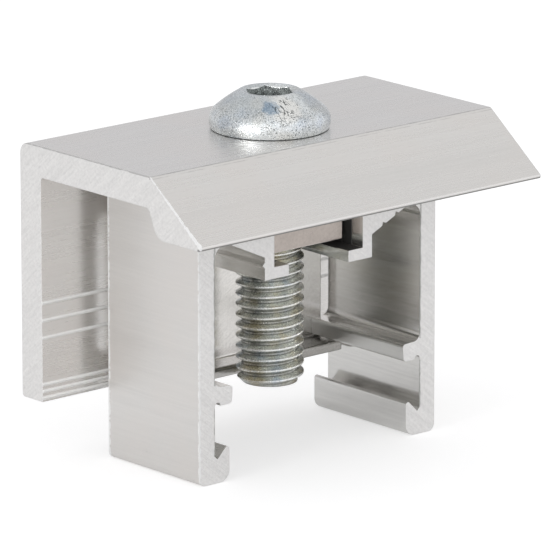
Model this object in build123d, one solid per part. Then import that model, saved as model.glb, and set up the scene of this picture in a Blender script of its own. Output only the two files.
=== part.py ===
from build123d import *
import math
import os

# End clamp for the frame of a solar panel, standing on the legs of its rail profile.
# Millimetres, +Z up. The bolt's axis is the Z axis, and the legs stand on Z = 0.
# X runs along the top clamp's extrusion, and -Y is the side of the panel.

# Rail profile, extruded along Y: two legs, a nut channel between them and webs that join the two.
# Its middle lies a little in front of the bolt, which its hole is drilled for.
PROFILE_W = 36.0
PROFILE_L = 16.0
PROFILE_H = 34.0
PROFILE_SHIFT = 0.5
LEG_T = 2.3
CEILING_T = 2.7
WEB_T = 2.0
WEB_RISE_DEG = 24.8
WEB_ROOT_ABOVE_LIP = 1.35
LEG_TOP_R = 1.65
OUTER_TOP_R = 0.4
OUTER_FOOT_R = 0.9
CHAMBER_R = 0.5
CHAMBER_END_H = 1.3

# Nut channel
CHANNEL_SIDE_GAP = 0.25
CHANNEL_WALL_T = 1.4
LIP_T = 1.35
LIP_REACH = 2.2
NUT_DROP = 0.95

# Upper rib and lower hook on the inner side of each leg, which grip the head of the rail
RIB_Z = 9.06
RIB_REACH = 2.68
RIB_LEAN = 0.16
RIB_TIP_H = 2.1
RIB_SLOPE_H = 0.1
RIB_ROOT_R = 1.0
RIB_TIP_R = 0.42
RIB_RELIEF_R = 0.42
HOOK_REACH = 2.15
HOOK_H = 4.1
HOOK_CREST = 0.45
HOOK_NOTCH = 1.3
HOOK_NOTCH_LIFT = 0.35
HOOK_CREST_R = 0.3
HOOK_FOOT_R = 1.35

# Small extrusion grooves under the right web, and the tooth on the channel's left wall
GROOVE_W = 0.66
GROOVE_DEPTH = 0.36
GROOVE_PITCH = 1.98
GROOVE_FIRST = 1.85
GROOVE_COUNT = 2
TOOTH_W = 0.7
TOOTH_H = 0.35
TOOTH_ABOVE_LIP = 0.43

# Top clamp, extruded along X: plate, back leg and nose
CLAMP_L = 51.6
PLATE_T = 3.6
BACK_LEG_T = 3.6
BACK_LEG_H = 30.0
BACK_GAP = 2.4
BACK_TOP_R = 1.3
BACK_FOOT_R = 0.4
PLATE_INNER_R = 0.5
BEND_AHEAD = 0.9
BEND_R = 0.5
NOSE_SLOPE_DEG = 37.4
NOSE_DROP = 6.95
NOSE_TIP_R = 0.3
NOSE_HEEL_AHEAD = 0.55
NOSE_HEEL_RUN = 1.4
NOSE_HEEL_TOP_R = 0.8
NOSE_HEEL_FOOT_R = 1.8

# Fine ridges on the inner face of the back leg, as heights above its foot
RIDGE_W = 0.5
RIDGE_H = 0.2
MID_RIDGE_FIRST = 7.55
MID_RIDGE_PITCH = 2.05
FOOT_RIDGE_FIRST = 0.45
FOOT_RIDGE_PITCH = 0.8
RIDGES_PER_GROUP = 3

# M8 x 30 button head bolt
THREAD_D = 8.0
THREAD_GAP = 0.05
BOLT_LENGTH = 30.0
HEAD_D = 14.0
HEAD_H = 4.4
HEAD_TOP_D = 7.0
HEAD_SEAT_D = 13.6
HEAD_WIDEST_H = 0.9
HEAD_SHOULDER_D = 13.1
HEAD_SHOULDER_H = 2.2
HEAD_DOME_RISE = 0.12
HEX_AF = 5.0
HEX_DEPTH = 3.0
HEX_MOUTH = 0.3
BOLT_TIP_CHAMFER = 0.7
CLEARANCE_HOLE_D = 9.0

# M8 square nut
NUT_AF = 13.0
NUT_H = 6.5
NUT_CORNER = 1.2
NUT_MOUTH = 0.5

# Bent sheet angle behind the profile: its wider foot lies under the two ribs
ANGLE_W = 29.0
ANGLE_FOOT_W = 30.4
ANGLE_T = 1.15
ANGLE_BOLT_GAP = 0.15
ANGLE_BEND_R = 0.19
ANGLE_RIB_GAP = 0.2
ANGLE_TOP_GAP = 1.0
ANGLE_CORNER_R = 0.7
ANGLE_EDGE_R = 0.4

# Worked out from the sizes above
HALF_W = PROFILE_W / 2
LEG_X = HALF_W - LEG_T
CEILING_Z = PROFILE_H - CEILING_T
NUT_Z = CEILING_Z - NUT_H
CHANNEL_X = NUT_AF / 2 + CHANNEL_SIDE_GAP
WALL_X = CHANNEL_X + CHANNEL_WALL_T
LIP_TOP_Z = NUT_Z - NUT_DROP
LIP_Z = LIP_TOP_Z - LIP_T
LIP_X = CHANNEL_X - LIP_REACH
WEB_Z = LIP_TOP_Z + WEB_ROOT_ABOVE_LIP
WEB_SLOPE = math.tan(math.radians(WEB_RISE_DEG))
FRONT_Y = -PROFILE_L / 2 - PROFILE_SHIFT
REAR_Y = PROFILE_L / 2 - PROFILE_SHIFT
PLATE_Z = PROFILE_H
PLATE_TOP_Z = PLATE_Z + PLATE_T
BACK_INNER_Y = REAR_Y + BACK_GAP
BACK_LEG_Y = BACK_INNER_Y + BACK_LEG_T
BACK_FOOT_Z = PLATE_TOP_Z - BACK_LEG_H
ANGLE_TOP_Z = PLATE_Z - ANGLE_TOP_GAP


def near(shape, *points):
    """The corners of a flat outline that lie nearest to the given points."""
    corners = shape.vertices()
    return [corners.sort_by_distance(point)[0] for point in points]


def rounded(outline, radius, *points):
    """The outline with the corners at the given points rounded."""
    return fillet(near(outline, *points), radius)


def half_profile_outline():
    """Right half of the rail profile's section, with +Y of the sketch as up."""
    web_top = WEB_Z + (LEG_X - WALL_X) * WEB_SLOPE
    rib_x = LEG_X - RIB_REACH
    hook_x = LEG_X - HOOK_REACH
    notch = (hook_x + HOOK_CREST + HOOK_NOTCH, HOOK_H - HOOK_NOTCH)
    rib_foot = (rib_x + RIB_LEAN, RIB_Z)
    rib_top = RIB_Z + RIB_TIP_H
    rib_root = (LEG_X, rib_top + RIB_SLOPE_H)
    points = [
        (0, PROFILE_H),
        (HALF_W, PROFILE_H),
        (HALF_W, 0),
        (hook_x, 0),
        (hook_x, HOOK_H),
        (hook_x + HOOK_CREST, HOOK_H),
        notch,
        (LEG_X, notch[1] + HOOK_NOTCH_LIFT),
        (LEG_X, RIB_Z),
        rib_foot,
        (rib_x, rib_top),
        rib_root,
        (LEG_X, web_top),
        (WALL_X, WEB_Z),
        (WALL_X, LIP_Z),
        (LIP_X, LIP_Z),
        (LIP_X, LIP_TOP_Z),
        (CHANNEL_X, LIP_TOP_Z),
        (CHANNEL_X, CEILING_Z),
        (0, CEILING_Z),
    ]
    outline = make_face(Polyline(*points, close=True))
    outline = rounded(outline, OUTER_TOP_R, (HALF_W, PROFILE_H))
    outline = rounded(outline, OUTER_FOOT_R, (HALF_W, 0))
    outline = rounded(outline, HOOK_FOOT_R, (hook_x, 0))
    outline = rounded(outline, HOOK_CREST_R, (hook_x, HOOK_H))
    outline = rounded(outline, RIB_TIP_R, rib_foot, (rib_x, rib_top))
    outline = rounded(outline, RIB_ROOT_R, rib_root)
    outline = rounded(outline, LEG_TOP_R, (LEG_X, web_top))
    relief = Pos(LEG_X - RIB_RELIEF_R, RIB_Z) * Circle(RIB_RELIEF_R)
    return outline - relief - chamber_outline()


def chamber_outline():
    """Chamber between the ceiling, the web and the channel's wall, which narrows towards the leg."""
    floor_z = WEB_Z + WEB_T / math.cos(math.radians(WEB_RISE_DEG))
    end_x = WALL_X + (CEILING_Z - CHAMBER_END_H - floor_z) / WEB_SLOPE
    points = [
        (WALL_X, CEILING_Z),
        (end_x, CEILING_Z),
        (end_x, CEILING_Z - CHAMBER_END_H),
        (WALL_X, floor_z),
    ]
    chamber = make_face(Polyline(*points, close=True))
    return fillet(chamber.vertices(), CHAMBER_R)


def web_grooves():
    """V grooves along the underside of the right web."""
    grooves = Sketch()
    for index in range(GROOVE_COUNT):
        x = WALL_X + GROOVE_FIRST + index * GROOVE_PITCH
        z = WEB_Z + (x - WALL_X) * WEB_SLOPE
        mouth = [(-GROOVE_W / 2, 0), (0, GROOVE_DEPTH), (GROOVE_W / 2, 0)]
        groove = make_face(Polyline(*mouth, close=True))
        grooves += Pos(x, z) * Rot(0, 0, WEB_RISE_DEG) * groove
    return grooves


def wall_tooth():
    """Small tooth on the outside of the channel's left wall."""
    base_z = LIP_TOP_Z + TOOTH_ABOVE_LIP
    points = [
        (-WALL_X, base_z - TOOTH_W / 2),
        (-WALL_X - TOOTH_H, base_z),
        (-WALL_X, base_z + TOOTH_W / 2),
    ]
    return make_face(Polyline(*points, close=True))


def rail_profile():
    """The lower extrusion, with the bolt's hole in its ceiling."""
    half = half_profile_outline()
    section = half + mirror(half, about=Plane.YZ)
    section = section - web_grooves() + wall_tooth()
    body = Pos(0, -PROFILE_SHIFT, 0) * extrude(Plane.XZ * section, PROFILE_L / 2, both=True)
    hole = Pos(0, 0, CEILING_Z) * Cylinder(CLEARANCE_HOLE_D / 2, 2 * CEILING_T)
    return body - hole


def ridge(z):
    """One fine ridge on the back leg's inner face, in the YZ section."""
    points = [
        (BACK_INNER_Y, z - RIDGE_W / 2),
        (BACK_INNER_Y - RIDGE_H, z),
        (BACK_INNER_Y, z + RIDGE_W / 2),
    ]
    return make_face(Polyline(*points, close=True))


def clamp_outline():
    """Section of the top clamp, with the sketch's X as Y of the part and its Y as up."""
    nose_z = PLATE_TOP_Z - NOSE_DROP
    bend_y = FRONT_Y - BEND_AHEAD
    heel_y = FRONT_Y - NOSE_HEEL_AHEAD
    tip_y = bend_y - NOSE_DROP / math.tan(math.radians(NOSE_SLOPE_DEG))
    points = [
        (BACK_LEG_Y, PLATE_TOP_Z),
        (BACK_LEG_Y, BACK_FOOT_Z),
        (BACK_INNER_Y, BACK_FOOT_Z),
        (BACK_INNER_Y, PLATE_Z),
        (heel_y, PLATE_Z),
        (heel_y - NOSE_HEEL_RUN, nose_z),
        (tip_y, nose_z),
        (bend_y, PLATE_TOP_Z),
    ]
    outline = make_face(Polyline(*points, close=True))
    outline = rounded(outline, BACK_TOP_R, points[0])
    outline = rounded(outline, BACK_FOOT_R, points[1])
    outline = rounded(outline, PLATE_INNER_R, points[3])
    outline = rounded(outline, NOSE_HEEL_TOP_R, points[4])
    outline = rounded(outline, NOSE_HEEL_FOOT_R, points[5])
    outline = rounded(outline, NOSE_TIP_R, points[6])
    outline = rounded(outline, BEND_R, points[7])
    for index in range(RIDGES_PER_GROUP):
        outline += ridge(BACK_FOOT_Z + MID_RIDGE_FIRST + index * MID_RIDGE_PITCH)
        outline += ridge(BACK_FOOT_Z + FOOT_RIDGE_FIRST + index * FOOT_RIDGE_PITCH)
    return outline


def top_clamp():
    """The upper extrusion, with the bolt's hole in its plate."""
    body = extrude(Plane.YZ * clamp_outline(), CLAMP_L / 2, both=True)
    hole = Pos(0, 0, PLATE_Z) * Cylinder(CLEARANCE_HOLE_D / 2, 3 * PLATE_T)
    return body - hole


def bolt():
    """Button head bolt with a hexagon socket. Its thread is left plain."""
    seat_r = HEAD_SEAT_D / 2
    top_r = HEAD_TOP_D / 2
    shoulder = (HEAD_SHOULDER_D / 2, HEAD_SHOULDER_H)
    crown = ((shoulder[0] + top_r) / 2, (shoulder[1] + HEAD_H) / 2 + HEAD_DOME_RISE)
    shank_r = THREAD_D / 2 - THREAD_GAP
    lower = Polyline(
        (0, HEAD_H),
        (0, -BOLT_LENGTH),
        (shank_r - BOLT_TIP_CHAMFER, -BOLT_LENGTH),
        (shank_r, BOLT_TIP_CHAMFER - BOLT_LENGTH),
        (shank_r, 0),
        (seat_r, 0),
    )
    side = ThreePointArc((seat_r, 0), (HEAD_D / 2, HEAD_WIDEST_H), shoulder)
    dome = ThreePointArc(shoulder, crown, (top_r, HEAD_H))
    lid = Line((top_r, HEAD_H), (0, HEAD_H))
    body = revolve(Plane.XZ * make_face([lower, side, dome, lid]), Axis.Z)
    socket_r = HEX_AF / math.sqrt(3)
    socket = extrude(RegularPolygon(socket_r, 6), -HEX_DEPTH)
    mouth = Pos(0, 0, -HEX_MOUTH / 2) * Cone(HEX_AF / 2, socket_r + HEX_MOUTH / 2, HEX_MOUTH)
    return Pos(0, 0, PLATE_TOP_Z) * (body - Pos(0, 0, HEAD_H) * (socket + mouth))


def square_nut():
    """Thick square nut with cut corners, seated under the channel's ceiling."""
    block = Box(NUT_AF, NUT_AF, NUT_H)
    block = chamfer(block.edges().filter_by(Axis.Z), NUT_CORNER)
    block -= Cylinder(THREAD_D / 2, NUT_H)
    mouth = Cone(THREAD_D / 2, THREAD_D / 2 + NUT_MOUTH, NUT_MOUTH)
    top_mouth = Pos(0, 0, (NUT_H - NUT_MOUTH) / 2) * mouth
    block = block - top_mouth - mirror(top_mouth, about=Plane.XY)
    return Pos(0, 0, NUT_Z + NUT_H / 2) * block


def guide_angle():
    """Bent sheet: a wall against the profile's rear face and a foot under its ribs."""
    foot_top = RIB_Z - ANGLE_RIB_GAP
    foot_end_y = THREAD_D / 2 + ANGLE_BOLT_GAP
    points = [
        (REAR_Y + ANGLE_T, ANGLE_TOP_Z),
        (REAR_Y + ANGLE_T, foot_top - ANGLE_T),
        (REAR_Y - ANGLE_T, foot_top - ANGLE_T),
        (REAR_Y - ANGLE_T, foot_top),
        (REAR_Y, foot_top),
        (REAR_Y, ANGLE_TOP_Z),
    ]
    outline = make_face(Polyline(*points, close=True))
    outline = rounded(outline, ANGLE_BEND_R + ANGLE_T, points[1])
    outline = rounded(outline, ANGLE_BEND_R, points[4])
    wall = extrude(Plane.YZ * outline, ANGLE_W / 2, both=True)
    foot_l = REAR_Y - foot_end_y
    foot = Pos(0, foot_end_y + foot_l / 2, foot_top - ANGLE_T / 2) * Box(ANGLE_FOOT_W, foot_l, ANGLE_T)
    foot = fillet(foot.edges().filter_by(Axis.Z), ANGLE_CORNER_R)
    upper = foot.edges().filter_by(lambda e: e.center().Z > foot_top - 0.01)
    foot = fillet(upper.filter_by(lambda e: e.center().Y < REAR_Y - ANGLE_T), ANGLE_EDGE_R)
    return wall + foot


NODES = {
    "rail_profile": rail_profile,
    "top_clamp": top_clamp,
    "bolt": bolt,
    "square_nut": square_nut,
    "guide_angle": guide_angle,
}

os.makedirs("parts", exist_ok=True)
for name, build in NODES.items():
    export_step(build(), f"parts/{name}.step")
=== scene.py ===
"""Looks of a solar panel end clamp: drawn aluminium, zinc bolt, nut, guide angle and studio."""

import math

import bmesh
import bpy
from bpy.props import FloatProperty, FloatVectorProperty, PointerProperty
from bpy.types import Operator, Panel, PropertyGroup
from mathutils import Matrix, Vector


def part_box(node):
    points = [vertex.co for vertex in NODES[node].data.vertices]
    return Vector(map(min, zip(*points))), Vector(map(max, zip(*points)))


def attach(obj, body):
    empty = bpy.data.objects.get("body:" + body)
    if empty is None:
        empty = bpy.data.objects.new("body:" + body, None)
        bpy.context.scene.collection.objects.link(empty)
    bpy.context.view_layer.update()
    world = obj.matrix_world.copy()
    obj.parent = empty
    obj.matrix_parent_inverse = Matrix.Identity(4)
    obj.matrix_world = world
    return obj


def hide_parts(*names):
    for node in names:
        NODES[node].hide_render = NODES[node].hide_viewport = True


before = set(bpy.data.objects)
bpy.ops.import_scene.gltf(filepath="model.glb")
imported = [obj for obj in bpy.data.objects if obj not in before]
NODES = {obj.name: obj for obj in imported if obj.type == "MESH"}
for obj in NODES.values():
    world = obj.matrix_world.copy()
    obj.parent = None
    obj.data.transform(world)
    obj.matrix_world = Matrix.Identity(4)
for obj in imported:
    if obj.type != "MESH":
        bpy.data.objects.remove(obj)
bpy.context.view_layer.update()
MM = 0.001

# In metres: the width of softened edges, the depth of fine grain, and half a mask's soft rim.
EDGE_WIDTH = 0.00014
GRAIN_RELIEF = 0.00004
SOFT_RIM = 0.00004

bl_info = {
    "name": "Solar end clamp looks",
    "version": (1, 0, 0),
    "blender": (4, 5, 0),
    "location": "View3D > Sidebar > End Clamp",
    "description": "Dresses the packed end clamp and sets up its studio",
    "category": "Object",
}


# Sizes and colours that a user would change.


class ExtrusionSettings(PropertyGroup):
    """The two drawn aluminium parts."""

    colour: FloatVectorProperty(
        name="Aluminium", description="Colour of the drawn faces", subtype="COLOR",
        default=(0.78, 0.765, 0.745), min=0, max=1)
    cut_colour: FloatVectorProperty(
        name="Cut ends", description="Colour of the sawn ends", subtype="COLOR",
        default=(0.84, 0.83, 0.815), min=0, max=1)
    bay_colour: FloatVectorProperty(
        name="Bay", description="Colour of the faces between the rail's legs", subtype="COLOR",
        default=(0.79, 0.783, 0.765), min=0, max=1)
    rail_roughness: FloatProperty(
        name="Rail roughness", description="Roughness of the rail's drawn faces", subtype="FACTOR",
        default=0.34, min=0, max=1)
    bay_roughness: FloatProperty(
        name="Bay roughness", description="Roughness of the faces between the rail's legs",
        subtype="FACTOR", default=0.19, min=0, max=1)
    clamp_roughness: FloatProperty(
        name="Clamp roughness", description="Roughness of the clamp's drawn faces", subtype="FACTOR",
        default=0.28, min=0, max=1)
    cut_roughness: FloatProperty(
        name="Cut roughness", description="Roughness of the sawn ends", subtype="FACTOR",
        default=0.5, min=0, max=1)
    line_width: FloatProperty(
        name="Die line width", description="Width of a line left by the die", unit="LENGTH",
        default=0.00035, min=0.00005, max=0.005, precision=5)
    saw_width: FloatProperty(
        name="Saw mark width", description="Distance between saw marks", unit="LENGTH",
        default=0.00024, min=0.00005, max=0.005, precision=5)
    saw_angle: FloatProperty(
        name="Saw mark angle", description="Rise of the saw marks on a cut end", subtype="ANGLE",
        default=math.radians(-40), min=-math.pi, max=math.pi)
    edge: FloatProperty(
        name="Edge width", description="Width of the softened edges", unit="LENGTH",
        default=EDGE_WIDTH, min=0.00001, max=0.002, precision=5)
    relief: FloatProperty(
        name="Relief", description="Depth of die lines and saw marks", unit="LENGTH",
        default=0.00004, min=0.0, max=0.001, precision=6)
    # Bright burr on the edges, partly painted highlight.
    burr_and_highlight_colour: FloatVectorProperty(
        name="Burr", description="Colour of the bright burr on the edges", subtype="COLOR",
        default=(0.95, 0.95, 0.94), min=0, max=1)


class BoltSettings(PropertyGroup):
    """The button head bolt."""

    head_diameter: FloatProperty(
        name="Head diameter", description="Widest part of the head", unit="LENGTH",
        default=0.014, min=0.005, max=0.05)
    head_height: FloatProperty(
        name="Head height", description="Height of the head over the plate", unit="LENGTH",
        default=0.0044, min=0.001, max=0.02)
    head_top: FloatProperty(
        name="Flat on top", description="Diameter of the flat round the socket", unit="LENGTH",
        default=0.007, min=0.003, max=0.05)
    socket_width: FloatProperty(
        name="Socket width", description="Distance across the flats of the socket", unit="LENGTH",
        default=0.005, min=0.002, max=0.02)
    socket_depth: FloatProperty(
        name="Socket depth", description="Depth of the socket's flat sides", unit="LENGTH",
        default=0.003, min=0.001, max=0.02)
    thread_diameter: FloatProperty(
        name="Thread diameter", description="Diameter over the crests", unit="LENGTH",
        default=0.0079, min=0.003, max=0.03, precision=4)
    thread_pitch: FloatProperty(
        name="Thread pitch", description="Distance from one turn to the next", unit="LENGTH",
        default=0.00125, min=0.0005, max=0.005, precision=5)
    thread_phase: FloatProperty(
        name="Thread phase", description="Turn of the thread about its axis", subtype="ANGLE",
        default=0.0, min=-math.pi, max=math.pi)
    colour: FloatVectorProperty(
        name="Zinc", description="Colour of the plated steel", subtype="COLOR",
        default=(0.73, 0.765, 0.775), min=0, max=1)
    shank_colour: FloatVectorProperty(
        name="Thread", description="Colour of the thread", subtype="COLOR",
        default=(0.71, 0.722, 0.68), min=0, max=1)
    stain_at: FloatVectorProperty(
        name="Stain", description="Middle of the blue stain, its height over the plate",
        subtype="TRANSLATION", default=(-0.00330, -0.00395, 0.00345), precision=5)
    scuff_at: FloatVectorProperty(
        name="Scuff", description="Middle of the scuffed patch, its height over the plate",
        subtype="TRANSLATION", default=(-0.0020, -0.0049, 0.0032), precision=5)
    smooth_at: FloatVectorProperty(
        name="Smooth", description="Middle of the unpitted patch, its height over the plate",
        subtype="TRANSLATION", default=(-0.0060, -0.0034, 0.0011), precision=5)
    warm: FloatVectorProperty(
        name="Zinc, warm", description="Warm patches in the plating", subtype="COLOR",
        default=(0.76, 0.66, 0.44), min=0, max=1)
    cool: FloatVectorProperty(
        name="Zinc, cool", description="Blue patches in the plating", subtype="COLOR",
        default=(0.48, 0.58, 0.72), min=0, max=1)


class FixingSettings(PropertyGroup):
    """The square nut and the sheet guide angle."""

    nut_colour: FloatVectorProperty(
        name="Nut", description="Colour of the nut", subtype="COLOR",
        default=(0.52, 0.465, 0.425), min=0, max=1)
    sheet_colour: FloatVectorProperty(
        name="Sheet", description="Colour of the guide angle", subtype="COLOR",
        default=(0.90, 0.88, 0.85), min=0, max=1)


class StudioSettings(PropertyGroup):
    """Floor, light and camera."""

    floor_size: FloatProperty(
        name="Floor size", description="Side of the floor", unit="LENGTH",
        default=8.0, min=1, max=50)
    floor_colour: FloatVectorProperty(
        name="Floor", description="Colour of the floor", subtype="COLOR",
        default=(0.62, 0.62, 0.62), min=0, max=1)
    floor_glow: FloatProperty(
        name="Floor glow", description="White that the camera and the metal see in the floor",
        subtype="FACTOR", default=0.52, min=0, max=1)
    floor_in_metal: FloatProperty(
        name="Floor in metal", description="Share of the glow that the metal reflects", subtype="FACTOR",
        default=0.52, min=0, max=1)
    key_power: FloatProperty(
        name="Key light", description="Power of the small soft light on the left", unit="POWER",
        default=0.72, min=0, max=100)
    camera_at: FloatVectorProperty(
        name="Camera", description="Place of the camera", subtype="TRANSLATION",
        default=(-0.486104, -0.555281, 0.213619))
    camera_aim: FloatVectorProperty(
        name="Aim", description="Point that the camera looks at", subtype="TRANSLATION",
        default=(-0.000092, -0.001886, 0.019895))
    lens: FloatProperty(
        name="Lens", description="Focal length on a 36 mm sensor", unit="CAMERA",
        default=426.2, min=1, max=2000)


class EndClampSettings(PropertyGroup):
    """Everything that the panel shows."""

    extrusion: PointerProperty(type=ExtrusionSettings)
    bolt: PointerProperty(type=BoltSettings)
    fixing: PointerProperty(type=FixingSettings)
    studio: PointerProperty(type=StudioSettings)


# Materials.


class Flow:
    """A value in a node tree. Arithmetic on it adds Math nodes."""

    def __init__(self, wiring, socket):
        self.wiring = wiring
        self.socket = socket

    def math(self, operation, first, second=0.0):
        sockets = {0: first, 1: second}
        return self.wiring.node("ShaderNodeMath", {"operation": operation}, sockets)["Value"]

    def __add__(self, other):
        return self.math("ADD", self, other)

    def __sub__(self, other):
        return self.math("SUBTRACT", self, other)

    def __rsub__(self, other):
        return self.math("SUBTRACT", other, self)

    def __mul__(self, other):
        return self.math("MULTIPLY", self, other)

    __radd__ = __add__
    __rmul__ = __mul__

    def size(self):
        """The value without its sign."""
        return self.math("ABSOLUTE", self)

    def most(self, other):
        """The larger of two values."""
        return self.math("MAXIMUM", self, other)

    def between(self, low, high):
        """0 up to low, 1 from high, and smooth between them."""
        settings = {"interpolation_type": "SMOOTHSTEP"}
        sockets = {"Value": self, "From Min": low, "From Max": high}
        return self.wiring.node("ShaderNodeMapRange", settings, sockets)["Result"]

    def above(self, limit, soft=SOFT_RIM):
        """1 above the limit and 0 below it, soft over a rim on both sides."""
        return self.between(limit - soft, limit + soft)

    def below(self, limit, soft=SOFT_RIM):
        """1 below the limit and 0 above it, soft in the same way."""
        return 1.0 - self.above(limit, soft)


class Wiring:
    """The nodes of a material or of the world."""

    def __init__(self, tree):
        self.tree = tree

    def node(self, kind, settings, sockets):
        """Adds a node, its settings first, and gives its outputs in use by their names."""
        node = self.tree.nodes.new(kind)
        for name, value in settings.items():
            if name == "stops":
                self.set_stops(node.color_ramp, value)
            else:
                setattr(node, name, value)
        for name, value in sockets.items():
            self.feed(node.inputs[name], value)
        return {out.name: Flow(self, out) for out in node.outputs if out.enabled}

    def set_stops(self, ramp, stops):
        """Gives a colour ramp its stops, each a position and a colour."""
        while len(ramp.elements) < len(stops):
            ramp.elements.new(0.5)
        for element, (position, colour) in zip(ramp.elements, stops):
            element.position = position
            element.color = (*colour, 1.0)

    def feed(self, socket, value):
        """Links a value to a socket, or sets a plain number or colour on it."""
        if isinstance(value, Flow):
            self.tree.links.new(value.socket, socket)
        elif socket.type == "RGBA":
            socket.default_value = (*value, 1.0)
        else:
            socket.default_value = value

    def mix(self, factor, first, second):
        """A mix of two colours, which a Mix node takes on its sockets 6 and 7."""
        sockets = {0: factor, 6: first, 7: second}
        return self.node("ShaderNodeMix", {"data_type": "RGBA"}, sockets)["Result"]

    def measure(self, operation, first, second=(0.0, 0.0, 0.0)):
        """A number that Vector Math works out from vectors, such as DISTANCE or LENGTH."""
        settings = {"operation": operation}
        return self.node("ShaderNodeVectorMath", settings, {0: first, 1: second})["Value"]


class Finish(Wiring):
    """A new material with its surface shader."""

    def __init__(self, name):
        self.material = bpy.data.materials.new(name)
        self.material.use_nodes = True
        super().__init__(self.material.node_tree)
        self.surface = self.tree.nodes["Principled BSDF"]
        coordinates = self.node("ShaderNodeTexCoord", {}, {})
        self.place = coordinates["Object"]
        self.x, self.y, self.z = self.axes(self.place)
        self.facing = self.axes(coordinates["Normal"])
        self.metal = 1.0

    def axes(self, vector):
        """The three numbers of a vector."""
        return list(self.node("ShaderNodeSeparateXYZ", {}, {0: vector}).values())

    def stretch(self, scale, turn=(0.0, 0.0, 0.0)):
        """Object coordinates, turned and then scaled."""
        turned = self.place
        if any(turn):
            turned = self.node("ShaderNodeMapping", {}, {"Vector": turned, "Rotation": turn})["Vector"]
        return self.node("ShaderNodeMapping", {}, {"Vector": turned, "Scale": scale})["Vector"]

    def noise(self, vector, detail=2.0, roughness=0.5, scale=1.0):
        """Noise from 0 to 1, mostly near a half."""
        sockets = {"Vector": vector, "Scale": scale, "Detail": detail, "Roughness": roughness}
        return list(self.node("ShaderNodeTexNoise", {}, sockets).values())[0]

    def ripple(self, vector, **sizes):
        """Noise that swings round 0."""
        return self.noise(vector, **sizes) - 0.5

    def blend(self, factor, first, second):
        """A mix of two numbers, which a Mix node takes on its sockets 2 and 3."""
        sockets = {0: factor, 2: first, 3: second}
        return self.node("ShaderNodeMix", {"data_type": "FLOAT"}, sockets)["Result"]

    def shade(self, colour, amount):
        """A colour made lighter or darker by a number round 1."""
        settings = {"operation": "SCALE"}
        return self.node("ShaderNodeVectorMath", settings, {0: colour, "Scale": amount})["Vector"]

    def soft_edge(self, radius):
        """Normal rounded over the edges, and how near an edge a point is."""
        rounded = self.node("ShaderNodeBevel", {"samples": 6}, {"Radius": radius})["Normal"]
        plain = self.node("ShaderNodeNewGeometry", {}, {})["Normal"]
        turned_away = 1.0 - self.measure("DOT_PRODUCT", rounded, plain)
        return rounded, turned_away.between(0.004, 0.08)

    def burr(self, first, second, width):
        """Ragged line where two faces meet, from a point's distances to both. It marks the bright burr,
        partly painted highlight, and also dark specks.
        """
        ragged = self.noise(self.place, detail=3.0, roughness=0.7, scale=1300.0).between(0.3, 0.62)
        reach = width * (0.25 + 1.2 * ragged)
        rim = SOFT_RIM / 2
        return (first - reach).below(0.0, rim) * (second - reach).below(0.0, rim)

    def bump(self, height, distance, normal):
        """A normal that follows a height of about 1, with distance its depth in metres."""
        sockets = {"Height": height, "Strength": 1.0, "Distance": distance, "Normal": normal}
        return self.node("ShaderNodeBump", {}, sockets)["Normal"]

    def wear(self, **sockets):
        """Feeds the surface shader's sockets, such as Base_Color."""
        for name, value in sockets.items():
            self.feed(self.surface.inputs[name.replace("_", " ")], value)

    def done(self):
        """Feeds what the finish has come to."""
        self.wear(Base_Color=self.colour, Roughness=self.rough, Metallic=self.metal, Normal=self.normal)

    def onto(self, piece):
        """Makes this the piece's one material."""
        piece.data.materials.clear()
        piece.data.materials.append(self.material)


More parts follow.
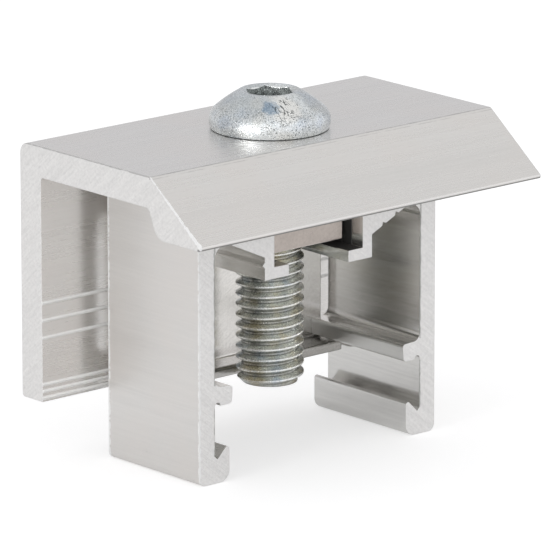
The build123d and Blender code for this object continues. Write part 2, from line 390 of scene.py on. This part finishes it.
class Extruded(Finish):
    """Aluminium drawn along X or Y, with sawn ends, die lines and ragged bright edges, partly burr and
    partly painted highlight.
    """

    def __init__(self, name, along, roughness, settings):
        super().__init__(name)
        self.settings = settings

        # Scales of the noise, in waves a metre. Die lines and saw marks are long one way.
        long, fine, across = 14.0, 1.0 / settings.line_width, 1.0 / settings.saw_width
        lengthwise = across * 0.07
        if along == "X":
            axis, die, line_depth, line_relief = 0, (long, fine, fine), 0.4, 0.12
            turn, saw = (-settings.saw_angle, 0.0, 0.0), (across, lengthwise, across)
        else:
            axis, die, line_depth, line_relief = 1, (fine, long, fine), 0.5, 0.35
            turn, saw = (0.0, settings.saw_angle, 0.0), (lengthwise, across, across)
        bands = tuple(scale * 0.13 + 3.0 for scale in die)
        short = tuple(scale * 1.4 + 330.0 for scale in die)
        lines = self.ripple(self.stretch(die), detail=3.0, roughness=0.7)
        broad = self.ripple(self.stretch(bands), detail=2.0)
        dashes = self.ripple(self.stretch(short), detail=2.0)
        clouds = self.noise(self.place, detail=2.0, scale=110.0)
        marks = self.ripple(self.stretch(saw, turn), detail=3.0, roughness=0.7)
        grain = self.ripple(self.place, detail=2.0, roughness=0.6, scale=2600.0)
        burr_and_sheen = self.noise(self.place, detail=2.0, scale=1500.0).between(0.36, 0.6)

        self.cut = self.facing[axis].size().between(0.85, 0.95)
        self.rounded, edge = self.soft_edge(settings.edge)
        self.streaks = line_depth * (lines + 0.8 * broad + 0.5 * dashes)
        drawn = self.shade(settings.colour, 1.0 + 0.25 * self.streaks + 0.03 * grain)
        warmer = (1.02, 0.985, 0.965)
        tint = tuple(share * warmth for share, warmth in zip(settings.colour, warmer))
        drawn = self.mix(clouds.between(0.35, 0.75) * 0.4, drawn, tint)
        sawn = self.shade(settings.cut_colour, 1.0 + 0.28 * marks + 0.24 * grain)
        self.colour = self.mix(self.cut, drawn, sawn)
        self.rough = self.blend(
            self.cut, roughness + 0.4 * self.streaks, settings.cut_roughness + 0.3 * marks)
        self.metal = self.blend(self.cut, 0.92, 0.8)
        self.height = self.blend(self.cut, line_relief * self.streaks, 1.6 * marks + 1.2 * grain)
        # Ragged bright edges: burr, partly painted highlight.
        self.spread(edge * burr_and_sheen * 0.75, settings.burr_and_highlight_colour, 0.35, 0.6)

    def spread(self, mask, colour, rough, metal):
        """Lays another colour, roughness and metal share over part of the surface."""
        self.colour = self.mix(mask, self.colour, colour)
        self.rough = self.blend(mask, self.rough, rough)
        self.metal = self.blend(mask, self.metal, metal)

    def done(self):
        self.normal = self.bump(self.height, self.settings.relief, self.rounded)
        super().done()


def plated(name, base, settings, grain_size, speckle, tints):
    """Zinc plate: fine pitted grain with warm and blue patches, and painted highlights in glints and along
    the edges. tints gives the patches' strengths.
    """
    finish = Finish(name)
    grain = finish.ripple(finish.place, detail=3.0, roughness=0.75, scale=1.0 / grain_size)
    spots = finish.noise(finish.place, detail=1.0, scale=0.8 / grain_size)
    pits = spots.between(0.62, 0.70)
    glints = (1.0 - spots).between(0.66, 0.72)
    patches = finish.noise(finish.place, detail=2.0, scale=420.0)
    tones = finish.noise(finish.place, detail=1.0, scale=260.0).between(0.34, 0.66)
    rounded, edge = finish.soft_edge(EDGE_WIDTH)
    wear_and_sheen = finish.noise(finish.place, detail=2.0, scale=2400.0).between(0.40, 0.56)
    edge = edge * (0.25 + 0.75 * wear_and_sheen)
    colour = finish.shade(base, 0.86 + 0.26 * tones + speckle * grain)
    colour = finish.mix(patches.between(0.5, 0.68) * tints[0], colour, settings.warm)
    colour = finish.mix((1.0 - patches).between(0.52, 0.7) * tints[1], colour, settings.cool)
    colour = finish.mix(pits * 0.5, colour, (0.2, 0.21, 0.21))
    # Painted highlights: bright glints, and bright edges broken up here and there.
    colour = finish.mix(glints.most(edge) * 0.7, colour, (0.95, 0.95, 0.93))
    finish.grain, finish.pits, finish.rounded, finish.colour = grain, pits, rounded, colour
    return finish


def rolled(name, colour, roughness):
    """Rolled sheet and bright steel: faint scratches one way, fine grain and a painted highlight along the
    edges.
    """
    finish = Finish(name)
    slanted = finish.stretch((500.0, 500.0, 5200.0), (0.0, 0.5, 0.0))
    scratches = finish.ripple(slanted, detail=2.0)
    mottle = finish.ripple(finish.place, detail=3.0, scale=700.0)
    grain = finish.ripple(finish.place, detail=2.0, scale=3600.0)
    rounded, edge = finish.soft_edge(EDGE_WIDTH)
    tint = finish.shade(colour, 1.0 + 0.16 * scratches + 0.12 * mottle + 0.3 * grain)
    # Painted highlight along the edges.
    finish.colour = finish.mix(edge * 0.7, tint, (0.86, 0.86, 0.85))
    finish.rough = roughness + 0.12 * mottle
    finish.normal = finish.bump(0.15 * scratches + 0.1 * grain, GRAIN_RELIEF, rounded)
    return finish


# Mesh helpers. Pieces are shaped in millimetres and scaled once at the end.

SHARP_FROM = math.radians(28)


def arc_points(start, middle, end, steps):
    """Points on the arc through three points."""
    (ax, ay), (bx, by), (cx, cy) = start, middle, end
    turn = 2 * (ax * (by - cy) + bx * (cy - ay) + cx * (ay - by))
    a, b, c = ax**2 + ay**2, bx**2 + by**2, cx**2 + cy**2
    x = (a * (by - cy) + b * (cy - ay) + c * (ay - by)) / turn
    y = (a * (cx - bx) + b * (ax - cx) + c * (bx - ax)) / turn
    radius = math.hypot(ax - x, ay - y)
    first = math.atan2(ay - y, ax - x)
    last = math.atan2(cy - y, cx - x)
    angles = [first + (last - first) * step / steps for step in range(steps + 1)]
    return [(x + radius * math.cos(angle), y + radius * math.sin(angle)) for angle in angles]


def turned(bm, points, steps):
    """Turns a profile of (radius, height) points about the Z axis."""
    verts = [bm.verts.new((r, 0.0, z)) for r, z in points]
    edges = [bm.edges.new(pair) for pair in zip(verts, verts[1:])]
    bmesh.ops.spin(
        bm, geom=verts + edges, cent=(0, 0, 0), axis=(0, 0, 1), angle=math.tau,
        steps=steps, use_merge=True)
    bmesh.ops.remove_doubles(bm, verts=bm.verts, dist=1e-4)


def grown(bm, edges):
    """Extrudes a loop of edges and gives the new edges and vertices."""
    made = bmesh.ops.extrude_edge_only(bm, edges=edges)["geom"]
    return (
        [e for e in made if isinstance(e, bmesh.types.BMEdge)],
        [v for v in made if isinstance(v, bmesh.types.BMVert)],
    )


def rim_edges(bm):
    """Edges of an open rim, each with one face."""
    return [e for e in bm.edges if e.is_boundary]


def finished(bm, name, body):
    """Makes the object, in metres, riding on its body. It is smooth but for its sharp edges."""
    bmesh.ops.recalc_face_normals(bm, faces=bm.faces)
    for face in bm.faces:
        face.smooth = True
    for edge in bm.edges:
        edge.smooth = edge.calc_face_angle(math.pi) < SHARP_FROM
    bmesh.ops.scale(bm, vec=(MM, MM, MM), verts=bm.verts)
    mesh = bpy.data.meshes.new(name)
    bm.to_mesh(mesh)
    bm.free()
    piece = bpy.data.objects.new(name, mesh)
    bpy.context.scene.collection.objects.link(piece)
    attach(piece, body)
    return piece


class DressRail(Operator):
    """Gives the rail profile its drawn aluminium, die lines along Y and sawn ends"""

    bl_idname = "end_clamp.dress_rail"
    bl_label = "Rail profile"

    def bay(self, finish, settings, high):
        """Smoother faces between the legs."""
        leg = 0.0021
        inside = finish.x.size().below(high.x - leg) * (1.0 - finish.cut)
        bay = finish.shade(settings.bay_colour, 1.0 + 0.5 * finish.streaks)
        finish.spread(inside, bay, settings.bay_roughness + 0.3 * finish.streaks, 0.95)

    def channel(self, finish):
        """Painted shade in the slot that holds the nut: near black beside and behind the nut and on its
        right lip.
        """
        low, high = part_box("square_nut")
        clearance, lip, over_nut = 0.0006, 0.00105, 0.0003
        lip_top = finish.facing[2].above(0.9, 0.05) * finish.x.above(0.0)
        beside_nut = finish.y.above(low.y - 0.0001, 0.00012).most(lip_top)
        channel = finish.x.size().below(high.x + clearance) * finish.z.above(low.z - lip)
        channel = channel * finish.z.below(high.z + over_nut)
        dark = channel * beside_nut * (1.0 - finish.cut) * 0.95
        finish.spread(dark, (0.015, 0.015, 0.014), 0.8, 0.0)

    def lit_rear_end(self, finish):
        """Painted light: the rear sawn end, higher than its hooks, is paler and matt and has no saw marks.
        """
        over_hooks = 0.0076
        rear = finish.cut * finish.y.above(0.0) * finish.z.above(over_hooks)
        finish.spread(rear, (0.97, 0.96, 0.94), 1.0, 0.1)
        finish.height = finish.height * (1.0 - rear)

    def rib_tips(self, finish, rib_top):
        """Darker, rougher tips of the ribs."""
        tip = 0.01325
        tips = finish.x.size().below(tip) * finish.z.below(rib_top) * (1.0 - finish.cut)
        finish.spread(tips * 0.48, (0.5, 0.5, 0.475), 0.42, 0.95)

    def burrs(self, finish, settings, low, high, rib_top):
        """Specks on the legs' inner edges in front, and a bright burr, partly painted highlight, on the left
        edges.
        """
        leg, hook_notch, under_rib, under_web = 0.0023, 0.0032, 0.0089, 0.0292
        speck_width, front_width, rear_width = 0.00011, 0.00016, 0.00024
        inner_edge = (finish.x.size() - (high.x - leg)).size()
        beside_slot = finish.z.above(hook_notch) * finish.z.below(under_rib)
        beside_bay = finish.z.above(rib_top) * finish.z.below(under_web)
        specks = finish.burr(inner_edge, finish.y - low.y, speck_width)
        specks = specks * beside_slot.most(beside_bay)
        finish.spread(specks * 0.6, (0.3, 0.3, 0.28), 0.5, 0.6)
        front = finish.burr(finish.x - low.x, finish.y - low.y, front_width)
        rear = finish.burr(finish.x - low.x, high.y - finish.y, rear_width)
        finish.spread(front.most(rear) * 0.95, settings.burr_and_highlight_colour, 0.35, 0.2)

    def execute(self, context):
        settings = context.scene.end_clamp.extrusion
        low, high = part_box("rail_profile")
        rib_top = 0.0115
        finish = Extruded("rail_aluminium", "Y", settings.rail_roughness, settings)
        self.bay(finish, settings, high)
        self.channel(finish)
        self.lit_rear_end(finish)
        self.rib_tips(finish, rib_top)
        self.burrs(finish, settings, low, high, rib_top)
        finish.done()
        finish.onto(NODES["rail_profile"])
        return {"FINISHED"}


class DressTopClamp(Operator):
    """Gives the top clamp its drawn aluminium, die lines along X and sawn ends"""

    bl_idname = "end_clamp.dress_top_clamp"
    bl_label = "Top clamp"

    # The plate bends into the nose at this Y, and the nose falls by this angle.
    bend_y = -0.00926
    slope = math.radians(37.4)

    def bend_lines(self, finish, past_bend, high):
        """Two dark broken lines along the bend, the second one a hair."""
        line_depth, hair_depth, apart = 0.0003, 0.0006, 0.0004
        line_width, hair_width = 0.00012, 0.00004
        broken = finish.noise(finish.stretch((420.0, 1.0, 1.0)), detail=3.0)
        line = past_bend.size().below(line_width, 0.00006) * finish.z.above(high.z - line_depth)
        line = line * (0.6 + 0.4 * broken.between(0.4, 0.6))
        hair = (past_bend + apart).size().below(hair_width) * finish.z.above(high.z - hair_depth)
        hair = hair * broken.below(0.5, 0.08)
        finish.spread(line.most(0.5 * hair) * 0.5, (0.10, 0.10, 0.10), 0.5, 0.5)

    def nose_tip_reflection(self, finish, low):
        """Painted dark reflection along the lower edge of the nose."""
        tip_depth, tip_top = 0.00055, 0.03088
        tip = finish.y.below(low.y + tip_depth) * finish.z.below(tip_top)
        finish.spread(tip * 0.7, (0.08, 0.08, 0.075), 0.5, 0.5)

    def ridge_highlights(self, finish):
        """Painted highlights on the crests of the ridges, which stand just in front of the back leg's face.
        """
        leg_face, in_front, top = 0.00986, 0.0092, 0.021
        ridge = finish.y.below(leg_face, SOFT_RIM / 2) * finish.y.above(in_front) * finish.z.below(top)
        finish.spread(ridge * 0.95, (0.98, 0.98, 0.96), 0.5, 0.0)

    def burrs(self, finish, settings, past_bend, low, high):
        """A bright burr with a lump on the nose's left sawn edge, partly painted highlight, and specks on
        the plate's.
        """
        lump, lump_size, speck_width = (low.x, low.y + 0.0002, 0.0315), 0.00042, 0.00009
        from_left = finish.x - low.x
        depth = past_bend * math.sin(self.slope) - (finish.z - high.z) * math.cos(self.slope)
        down_nose = (self.bend_y - finish.y).between(0.0, self.bend_y - low.y)
        width = 0.00005 + 0.00012 * down_nose
        apart = finish.measure("DISTANCE", finish.place, lump)
        burr = finish.burr(from_left, depth, width).most(apart.below(lump_size, 0.00008))
        specks = finish.burr(from_left, high.z - finish.z, speck_width) * finish.y.above(self.bend_y)
        finish.spread(specks * 0.45, (0.2, 0.2, 0.19), 0.5, 0.4)
        finish.spread(burr * 0.95, settings.burr_and_highlight_colour, 0.35, 0.0)

    def execute(self, context):
        settings = context.scene.end_clamp.extrusion
        low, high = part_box("top_clamp")
        finish = Extruded("clamp_aluminium", "X", settings.clamp_roughness, settings)
        past_bend = finish.y - self.bend_y
        self.bend_lines(finish, past_bend, high)
        self.nose_tip_reflection(finish, low)
        self.ridge_highlights(finish)
        self.burrs(finish, settings, past_bend, low, high)
        finish.done()
        finish.onto(NODES["top_clamp"])
        return {"FINISHED"}


class DressFixings(Operator):
    """Gives the square nut and the guide angle their metal"""

    bl_idname = "end_clamp.dress_fixings"
    bl_label = "Nut and guide angle"

    def execute(self, context):
        settings = context.scene.end_clamp.fixing
        nut = rolled("nut_steel", settings.nut_colour, 0.3)
        nut.done()
        nut.onto(NODES["square_nut"])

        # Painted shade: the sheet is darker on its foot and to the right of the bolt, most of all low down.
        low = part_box("guide_angle")[0]
        foot_length, foot_height, low_part, rim = 0.0028, 0.0016, 0.006, 0.0002
        shade_from, shade_fully = 0.002, 0.011
        sheet = rolled("guide_sheet", settings.sheet_colour, 0.2)
        foot = sheet.y.below(low.y + foot_length, rim) * sheet.z.below(low.z + foot_height, rim)
        lower = sheet.z.below(low.z + low_part, 0.005)
        right = sheet.x.between(shade_from, shade_fully) * (0.2 + 0.2 * lower)
        sheet.colour = sheet.shade(sheet.colour, 1.0 - (foot * 0.4).most(right))
        sheet.done()
        sheet.onto(NODES["guide_angle"])
        return {"FINISHED"}


class MakeBolt(Operator):
    """Makes the domed head with its hexagon socket and the threaded shank"""

    bl_idname = "end_clamp.make_bolt"
    bl_label = "Bolt"

    # In plan, the direction of the side that is painted darker, as painted shade.
    shaded_side = (-0.7513, 0.66)

    def head(self, settings):
        """Dome, flat and rim are turned. The socket is then drawn down from the flat."""
        rim, top = settings.head_diameter / MM / 2, settings.head_top / MM / 2
        height = settings.head_height / MM
        seat_inset, shoulder_inset, rim_height, bulge = 0.2, 0.45, 0.9, 0.12
        chamfer_in, chamfer_up = 0.08, 0.06
        rim_steps, crown_steps, sides = 8, 10, 96
        seat, shoulder = rim - seat_inset, (rim - shoulder_inset, height / 2)
        crown = ((shoulder[0] + top) / 2, (shoulder[1] + height) / 2 + bulge)
        points = [(0.0, 0.0), (seat - chamfer_in, 0.0)]
        points += arc_points((seat, chamfer_up), (rim, rim_height), shoulder, rim_steps)
        points += arc_points(shoulder, crown, (top, height), crown_steps)[1:]
        bm = bmesh.new()
        turned(bm, points, sides)

        # The mouth is a cone from a circle to the hexagon, and the drill leaves a point below.
        sixth, mouth, drill_point = math.pi / 3, 0.3, 0.55
        bottom = height - settings.socket_depth / MM
        flat = settings.socket_width / MM / 2
        opening = flat / math.cos(sixth / 2) + mouth / 2
        edges, verts = grown(bm, rim_edges(bm))
        for vert in verts:
            vert.co.xy = vert.co.xy.normalized() * opening
        edges, verts = grown(bm, edges)
        for vert in verts:
            angle = math.atan2(vert.co.y, vert.co.x) % sixth - sixth / 2
            reach = flat / math.cos(angle)
            vert.co.xy = vert.co.xy.normalized() * reach
            vert.co.z = height - mouth + mouth * (reach - flat) / (opening - flat)
        edges, verts = grown(bm, edges)
        for vert in verts:
            vert.co.z = bottom
        verts = grown(bm, edges)[1]
        bmesh.ops.pointmerge(bm, verts=verts, merge_co=(0, 0, bottom - drill_point))
        return bm

    def thread(self, settings, top, tip):
        """One pitch of the V form, spun up the shank as a helix and cut at both ends."""
        pitch = settings.thread_pitch / MM
        crest = settings.thread_diameter / MM / 2
        root, rounding = crest - 0.6 * pitch, 0.03
        form = [
            (root, 0.0), (root + rounding, 0.09), (crest - rounding, 0.415), (crest, 0.455),
            (crest, 0.545), (crest - rounding, 0.585), (root + rounding, 0.91), (root, 1.0),
        ]
        bm = bmesh.new()
        start = tip - 1.5 * pitch
        verts = [bm.verts.new((r, 0.0, start + z * pitch)) for r, z in form]
        edges = [bm.edges.new(pair) for pair in zip(verts, verts[1:])]
        turn = Matrix.Rotation(settings.thread_phase, 3, "Z")
        bmesh.ops.rotate(bm, cent=(0, 0, 0), matrix=turn, verts=verts)
        steps, weld, near = 48, 2e-3, 1e-3
        turns = math.ceil((top - tip) / pitch) + 3
        bmesh.ops.spin(
            bm, geom=verts + edges, cent=(0, 0, 0), axis=(0, 0, 1), dvec=(0, 0, pitch / steps),
            angle=math.tau * turns, steps=steps * turns)
        bmesh.ops.remove_doubles(bm, verts=bm.verts, dist=weld)
        for height, direction in ((tip, -1.0), (top, 1.0)):
            geometry = bm.verts[:] + bm.edges[:] + bm.faces[:]
            bmesh.ops.bisect_plane(
                bm, geom=geometry, dist=1e-5, plane_co=(0, 0, height), plane_no=(0, 0, direction),
                clear_outer=True)
            level = [e for e in rim_edges(bm) if all(abs(v.co.z - height) < near for v in e.verts)]
            bmesh.ops.holes_fill(bm, edges=level, sides=0)

        # The tip is a cone of 45 degrees.
        chamfer = 0.75
        for vert in bm.verts:
            limit = crest - chamfer + (vert.co.z - tip)
            if vert.co.xy.length > limit:
                vert.co.xy = vert.co.xy.normalized() * limit
        return bm

    def reach(self, finish):
        """Distance from the bolt's axis."""
        return finish.measure("LENGTH", finish.stretch((1.0, 1.0, 0.0)))

    def towards_shaded_side(self, finish):
        """How far a point lies from the axis towards the side with painted shade."""
        return finish.x * self.shaded_side[0] + finish.y * self.shaded_side[1]

    def patch(self, finish, at, seat, inner, outer):
        """A soft round patch, ragged at its rim. Its height is given over the seat."""
        centre = (at[0], at[1], at[2] + seat)
        ragged = finish.ripple(finish.place, detail=2.0, scale=1400.0)
        apart = finish.measure("DISTANCE", finish.place, centre)
        return 1.0 - (apart + 0.0014 * ragged).between(inner, outer)

    def head_zinc(self, settings, seat):
        """Bright zinc with specks, a blue stain, a scuffed patch, painted light and shade, and a painted
        contact shadow as a dark line at its foot.
        """
        finish = plated("head_zinc", settings.colour, settings, 0.00017, 1.2, (0.12, 0.3))
        z = finish.z
        top = seat + settings.head_height
        scuffed = self.patch(finish, settings.scuff_at, seat, 0.0013, 0.0024)
        stain = self.patch(finish, settings.stain_at, seat, 0.0006, 0.00135)
        smooth = self.patch(finish, settings.smooth_at, seat, 0.0009, 0.0021)

        # Specks, bright and dark, are strongest on the lower part of the dome. The bright ones are painted
        # glints.
        lower_part = 0.35 + 0.65 * z.below(seat + 0.0030, 0.0005)
        specks = finish.noise(finish.place, detail=1.0, scale=6200.0)
        bright = (1.0 - specks).between(0.56, 0.68) * lower_part
        dots = specks.between(0.58, 0.70) * lower_part * (1.0 - 0.85 * smooth)
        strokes = finish.stretch((1500.0, 1500.0, 560.0), (0.6, 0.0, 0.0))
        cracks = finish.ripple(strokes, detail=1.0).size().below(0.022, 0.014)
        cracks = cracks * finish.noise(finish.place, detail=1.0, scale=900.0).between(0.36, 0.46)

        # A painted greyer reflection band on the shaded side, the two patches, the bright specks, and the
        # socket painted pale as painted light.
        band = z.between(seat + 0.0020, seat + 0.0031)
        band = band * self.towards_shaded_side(finish).between(-0.0015, 0.0012) * (1.0 - scuffed)
        socket_corner, socket_rim, fade = 0.00288, 0.0002, 0.00003
        socket = self.reach(finish).below(socket_corner, fade) * z.below(top - socket_rim)
        colour = finish.mix(band * 0.3, finish.colour, (0.42, 0.46, 0.49))
        colour = finish.mix(scuffed * 0.7, colour, (0.93, 0.92, 0.88))
        colour = finish.mix(stain * 0.75, colour, (0.22, 0.33, 0.45))
        colour = finish.mix(bright * 0.7, colour, (0.98, 0.98, 0.97))
        colour = finish.mix(socket * 0.85, colour, (0.95, 0.97, 0.96))

        # Dark specks and cracks, dark blotches and a darker bottom in the socket as painted shade, and a
        # painted contact shadow where the head meets the plate.
        socket_blotches = finish.noise(finish.place, detail=2.0, roughness=0.6, scale=1300.0).between(0.44, 0.58)
        bottom = z.below(top - settings.socket_depth + 0.0003, 0.0002)
        dark = (dots * (0.68 + 0.25 * stain)).most(cracks * scuffed * 0.8) * (1.0 - socket)
        dark = dark.most(socket * socket_blotches * (0.5 - 0.35 * bottom)).most(socket * bottom * 0.45)
        # Painted contact shadow at the foot of the head.
        dark = dark.most(z.below(seat + 0.00008) * 0.9)
        finish.colour = finish.mix(dark, colour, (0.05, 0.06, 0.06))

        height = (finish.grain - 0.6 * finish.pits - 0.8 * dots + cracks * scuffed) * (1.0 - socket)
        finish.normal = finish.bump(height, GRAIN_RELIEF, finish.rounded)
        finish.rough = 0.24 + 0.3 * finish.grain + 0.12 * finish.pits
        finish.done()
        return finish

    def thread_zinc(self, settings):
        """Bright crests, partly wear and partly painted highlight, rings along the helix, and painted shade
        in the roots, on the lower flanks and on one side.
        """
        finish = plated("thread_zinc", settings.shank_colour, settings, 0.0002, 0.7, (0.5, 0.5))
        reach = self.reach(finish)
        crest = settings.thread_diameter / 2
        root_depth, root_fade, crest_depth = 0.0006, 0.0001, 0.00003
        wear_and_sheen = finish.noise(finish.place, detail=3.0, roughness=0.7, scale=2600.0).between(0.42, 0.58)
        rings = finish.ripple(finish.stretch((260.0, 260.0, 6000.0)), detail=2.0)
        shaded = self.towards_shaded_side(finish).between(0.0012, 0.0038)
        in_root = reach.below(crest - root_depth, root_fade)
        lower_flank = finish.facing[2].below(-0.35, 0.15)
        on_crest = reach.above(crest - crest_depth, crest_depth)
        colour = finish.shade(finish.colour, (1.23 + 1.1 * rings) * (1.0 - 0.22 * shaded))
        # Painted shade in the roots and on the lower flanks.
        colour = finish.mix(in_root * 0.55, colour, (0.08, 0.08, 0.07))
        colour = finish.mix(lower_flank * 0.35, colour, (0.08, 0.09, 0.07))
        # Bright crests, partly wear and partly painted highlight.
        finish.colour = finish.mix(on_crest * wear_and_sheen * 0.9, colour, (0.97, 0.98, 0.96))
        finish.normal = finish.bump(1.4 * finish.grain, GRAIN_RELIEF, finish.rounded)
        finish.rough = 0.28 + 0.25 * finish.grain
        finish.done()
        return finish

    def execute(self, context):
        settings = context.scene.end_clamp.bolt
        low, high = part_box("bolt")
        seat = high.z / MM - settings.head_height / MM
        into_head = 0.1
        head = self.head(settings)
        bmesh.ops.translate(head, vec=(0, 0, seat), verts=head.verts)
        head_zinc = self.head_zinc(settings, seat * MM)
        thread_zinc = self.thread_zinc(settings)
        piece = finished(head, "bolt_head", "bolt")
        head_zinc.onto(piece)
        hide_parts("bolt")
        shank = self.thread(settings, seat + into_head, low.z / MM)
        shank = finished(shank, "bolt_thread", "bolt")
        thread_zinc.onto(shank)
        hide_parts("bolt")
        return {"FINISHED"}


class MakeStudio(Operator):
    """Makes the pale floor, the soft light, the world and the camera"""

    bl_idname = "end_clamp.make_studio"
    bl_label = "Studio"

    # Where the lamp stands and what it looks at, its two sides, and the camera's sensor in mm.
    lamp_at = (-0.62, -0.10, 0.17)
    lamp_aim = (0.0, 0.0, 0.02)
    lamp_size = (0.13, 0.10)
    sensor = 36.0

    def floor(self, settings):
        """A card under the object, white to the camera and to metal, which keeps the shadow."""
        gap = 0.00003
        bm = bmesh.new()
        bmesh.ops.create_grid(bm, x_segments=2, y_segments=2, size=settings.floor_size / 2)
        bmesh.ops.translate(bm, vec=(0, 0, -gap), verts=bm.verts)
        mesh = bpy.data.meshes.new("floor")
        bm.to_mesh(mesh)
        bm.free()
        piece = bpy.data.objects.new("floor", mesh)
        bpy.context.scene.collection.objects.link(piece)
        finish = Finish("floor_card")
        fibre = finish.noise(finish.place, detail=2.0, scale=300.0)
        ray = finish.node("ShaderNodeLightPath", {}, {})
        mirrored = ray["Is Glossy Ray"] + ray["Is Transmission Ray"]
        seen = ray["Is Camera Ray"] + settings.floor_in_metal * mirrored
        finish.wear(
            Base_Color=finish.shade(settings.floor_colour, 0.99 + 0.02 * fibre), Roughness=0.9, Metallic=0.0,
            Emission_Color=(1.0, 1.0, 1.0), Emission_Strength=settings.floor_glow * seen)
        finish.onto(piece)

    def world(self):
        """White to the camera. To the object it is pale, with more light from in front and from
        the right, and it is a little darker and cooler at the horizon and below."""
        world = bpy.data.worlds.new("studio")
        bpy.context.scene.world = world
        world.use_nodes = True
        wiring = Wiring(world.node_tree)
        direction = wiring.node("ShaderNodeTexCoord", {}, {})["Generated"]
        height = wiring.node("ShaderNodeSeparateXYZ", {}, {0: direction})["Z"]
        stops = [
            (0.0, (0.66, 0.66, 0.685)), (0.35, (0.68, 0.68, 0.70)), (0.65, (0.80, 0.80, 0.80)),
            (1.0, (0.76, 0.76, 0.77)),
        ]
        sky = wiring.node("ShaderNodeValToRGB", {"stops": stops}, {0: height})["Color"]
        front = wiring.measure("DOT_PRODUCT", direction, (-0.5, -0.8, 0.3)).between(0.1, 0.95)
        right = wiring.measure("DOT_PRODUCT", direction, (0.75, -0.65, 0.1)).between(0.8, 0.97)
        seen = wiring.node("ShaderNodeLightPath", {}, {})["Is Camera Ray"]
        colour = wiring.mix(seen, sky, (1.0, 1.0, 1.0))
        strength = 1.0 + (1.0 - seen) * (0.4 * front + 0.5 * right)
        background = world.node_tree.nodes["Background"]
        wiring.feed(background.inputs["Color"], colour)
        wiring.feed(background.inputs["Strength"], strength)

    def aimed(self, name, data, at, aim):
        """Stands a lamp or a camera at a point, looking at another one."""
        stand = bpy.data.objects.new(name, data)
        bpy.context.scene.collection.objects.link(stand)
        stand.location = at
        stand.rotation_euler = (Vector(aim) - Vector(at)).to_track_quat("-Z", "Y").to_euler()
        return stand

    def lamp(self, settings):
        light = bpy.data.lights.new("key", "AREA")
        light.shape = "RECTANGLE"
        light.size, light.size_y = self.lamp_size
        light.energy = settings.key_power
        self.aimed("key", light, self.lamp_at, self.lamp_aim)

    def camera(self, settings):
        data = bpy.data.cameras.new("camera")
        data.lens = settings.lens
        data.sensor_width = self.sensor
        data.clip_start = 0.01
        camera = self.aimed("camera", data, settings.camera_at, settings.camera_aim)
        bpy.context.scene.camera = camera

    def execute(self, context):
        settings = context.scene.end_clamp.studio
        self.floor(settings)
        self.world()
        self.lamp(settings)
        self.camera(settings)
        context.scene.view_settings.view_transform = "Standard"
        context.scene.cycles.glossy_bounces = 8
        return {"FINISHED"}


class EndClampPanel(Panel):
    """Lists the pieces and their settings."""

    bl_idname = "VIEW3D_PT_end_clamp"
    bl_label = "End Clamp"
    bl_space_type = "VIEW_3D"
    bl_region_type = "UI"
    bl_category = "End Clamp"

    def draw(self, context):
        settings = context.scene.end_clamp
        for group in (settings.extrusion, settings.bolt, settings.fixing, settings.studio):
            box = self.layout.box()
            for name in group.bl_rna.properties.keys():
                if name not in ("rna_type", "name"):
                    box.prop(group, name)
        for operator in OPERATORS:
            self.layout.operator(operator.bl_idname)


OPERATORS = (DressRail, DressTopClamp, DressFixings, MakeBolt, MakeStudio)
GROUPS = (ExtrusionSettings, BoltSettings, FixingSettings, StudioSettings, EndClampSettings)


def register():
    for cls in (*GROUPS, *OPERATORS, EndClampPanel):
        bpy.utils.register_class(cls)
    bpy.types.Scene.end_clamp = PointerProperty(type=EndClampSettings)


def unregister():
    del bpy.types.Scene.end_clamp
    for cls in reversed((*GROUPS, *OPERATORS, EndClampPanel)):
        bpy.utils.unregister_class(cls)


def main():
    register()
    bpy.ops.end_clamp.dress_rail()
    bpy.ops.end_clamp.dress_top_clamp()
    bpy.ops.end_clamp.dress_fixings()
    bpy.ops.end_clamp.make_bolt()
    bpy.ops.end_clamp.make_studio()


if __name__ == "__main__":
    main()
